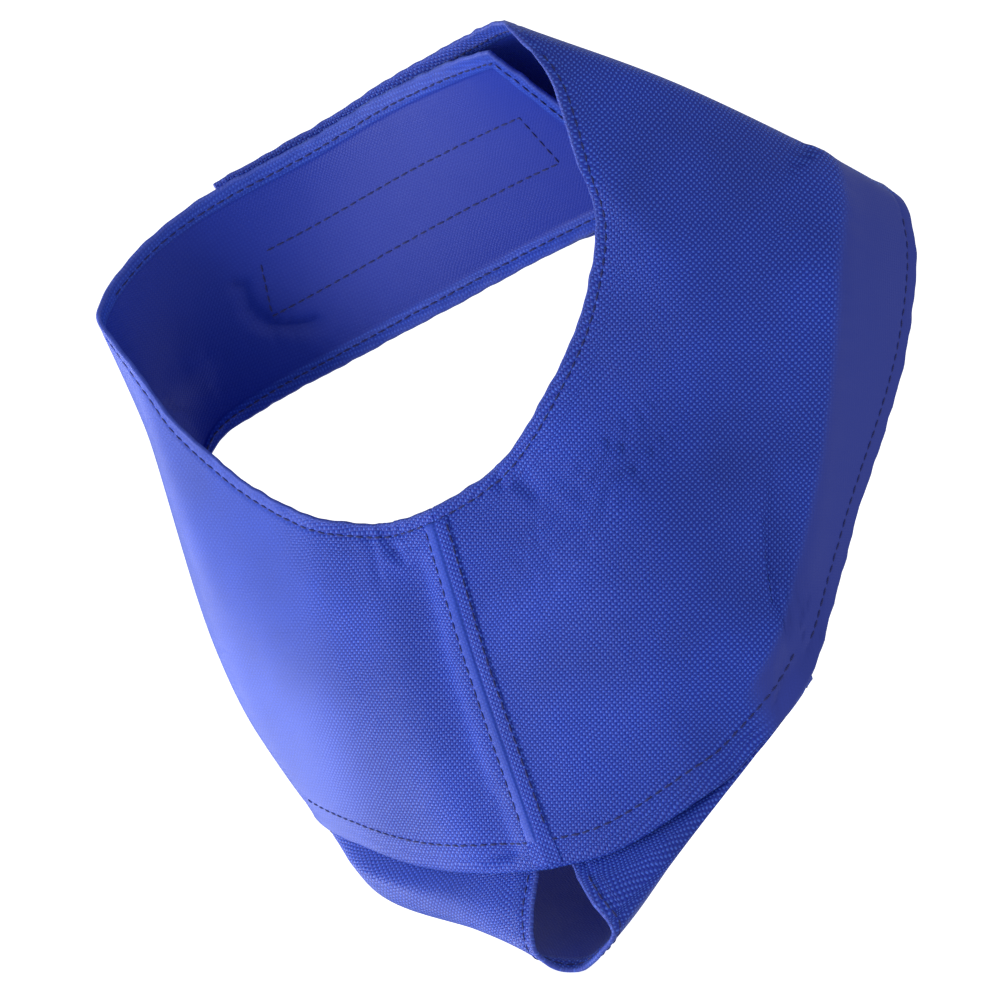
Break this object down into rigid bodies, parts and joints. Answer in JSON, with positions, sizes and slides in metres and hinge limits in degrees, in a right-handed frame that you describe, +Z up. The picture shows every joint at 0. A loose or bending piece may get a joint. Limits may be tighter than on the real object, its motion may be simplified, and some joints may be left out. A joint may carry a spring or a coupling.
{
  "type": "cat face hood",
  "caption": "Soft woven fabric face hood for a cat, with a deep neck line, lapped neck straps closed by touch-fastening tape, and a chin band with a small nose opening.",
  "frame": {"origin": "centre of the neck ring, level with the two folds where the straps turn back", "axes": "+Z up towards the neck opening, -Y towards the front of the face, +X towards the outer strap's fold"},
  "size_m": [0.2026, 0.1041, 0.1912],
  "materials": {
    "cloth": "woven nylon with a soft sheen",
    "tape": "touch-fastening tape",
    "thread": "matt sewing thread"
  },
  "bodies": {
    "hood": {"right_face_panel": "cloth", "left_face_panel": "cloth", "centre_seam_fold": "cloth", "chin_band": "cloth", "neck_hem_thread_right": "thread", "neck_hem_thread_left": "thread", "lower_seam_thread_right": "thread", "lower_seam_thread_left": "thread", "cheek_hem_thread_right": "thread", "cheek_hem_thread_left": "thread", "centre_seam_thread_right": "thread", "centre_seam_thread_left": "thread", "nose_hem_thread": "thread", "throat_hem_thread": "thread"},
    "outer_strap_body": {"outer_strap": "cloth", "hook_tape": "tape", "hook_tape_thread": "thread", "outer_strap_hem_thread": "thread"},
    "inner_strap_body": {"inner_strap": "cloth", "loop_tape": "tape", "loop_tape_thread": "thread", "inner_strap_hem_thread": "thread"}
  },
  "joints": [
    {"name": "outer_strap_fold", "type": "hinge", "parent": "hood", "child": "outer_strap_body", "pos_m": [0.0625, 0.001, 0.008], "axis": [0.404, 0.539, -0.7391], "range_deg": [0, 110]},
    {"name": "inner_strap_fold", "type": "hinge", "parent": "hood", "child": "inner_strap_body", "pos_m": [-0.0635, 0, -0.008], "axis": [-0.3899, 0.5938, -0.7038], "range_deg": [0, 12]}
  ]
}
